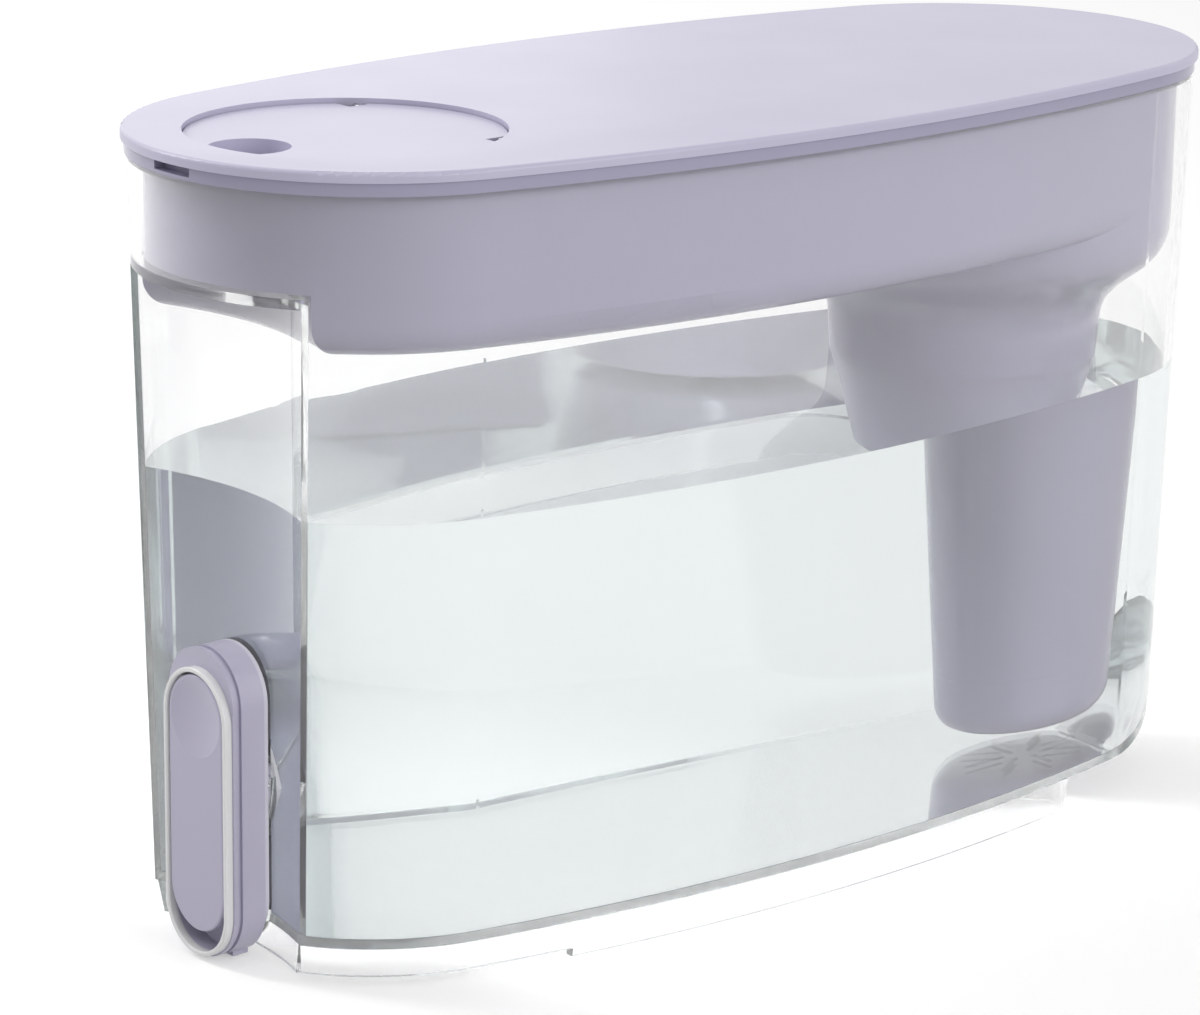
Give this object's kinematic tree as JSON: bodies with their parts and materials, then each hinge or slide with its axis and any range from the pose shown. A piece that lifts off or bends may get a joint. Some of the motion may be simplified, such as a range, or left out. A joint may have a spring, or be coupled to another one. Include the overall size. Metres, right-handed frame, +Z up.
{
  "type": "water filter dispenser",
  "caption": "Oval water filter dispenser: clear tank with a press-lever tap, drop-in reservoir with filter cup, flat lid and flip-up fill door.",
  "frame": {"origin": "centre of the footprint on the surface the dispenser stands on", "axes": "+Z up, +Y along the length away from the tap, +X to the right when facing the tap end from behind"},
  "size_m": [0.165, 0.375, 0.2325],
  "materials": {
    "clear_shell": "clear moulded plastic, polished",
    "clear_bezel": "clear moulded plastic, polished",
    "lavender_shell": "smooth",
    "lavender_lid": "fine satin",
    "lavender_tap": "satin",
    "lavender_lever": "satin",
    "filter_plastic": "moulded",
    "filter_mesh": "fine woven mesh",
    "carbon_media": "granular",
    "seal_rubber": "soft matte",
    "nut_plastic": "moulded",
    "steel": "stainless"
  },
  "bodies": {
    "tank": {"tank": "clear_shell", "tank_foot": "clear_shell", "tap_body": "lavender_tap", "tap_bezel": "clear_bezel", "lever_pins": "steel", "tap_outer_gasket": "seal_rubber", "tap_inner_gasket": "seal_rubber", "tap_nut": "nut_plastic", "valve_spring": "steel"},
    "reservoir": {"reservoir": "lavender_shell", "cup_base": "lavender_shell"},
    "lid": {"lid": "lavender_lid"},
    "fill_door": {"fill_door": "lavender_lid", "door_pins": "steel"},
    "filter": {"filter_housing": "filter_plastic", "filter_seal": "seal_rubber", "filter_screen": "filter_mesh", "filter_media": "carbon_media", "filter_cap": "filter_plastic"},
    "lever": {"tap_lever": "lavender_lever"},
    "valve": {"valve_stem": "nut_plastic", "valve_seal": "seal_rubber", "spring_collar": "nut_plastic"}
  },
  "joints": [
    {"name": "reservoir_lift", "type": "slide", "parent": "tank", "child": "reservoir", "axis": [0, 0, 1], "range_m": [0, 0.22]},
    {"name": "lid_lift", "type": "slide", "parent": "reservoir", "child": "lid", "axis": [0, 0, 1], "range_m": [0, 0.08]},
    {"name": "door_hinge", "type": "hinge", "parent": "lid", "child": "fill_door", "pos_m": [0, -0.097, 0.23008], "axis": [-1, 0, 0], "range_deg": [0, 95]},
    {"name": "filter_lift", "type": "slide", "parent": "reservoir", "child": "filter", "axis": [0, 0, 1], "range_m": [0, 0.06]},
    {"name": "lever_hinge", "type": "hinge", "parent": "tank", "child": "lever", "pos_m": [0, -0.174, 0.02], "axis": [-1, 0, 0], "range_deg": [0, 5.5], "stiffness_Nm_per_rad": 0.6},
    {"name": "valve_slide", "type": "slide", "parent": "tank", "child": "valve", "axis": [0, 1, 0], "range_m": [0, 0.0029], "deforming": ["valve_spring"]}
  ],
  "couplings": [
    {"joint": "valve_slide", "follows": "lever_hinge", "m_per_rad": 0.03}
  ]
}
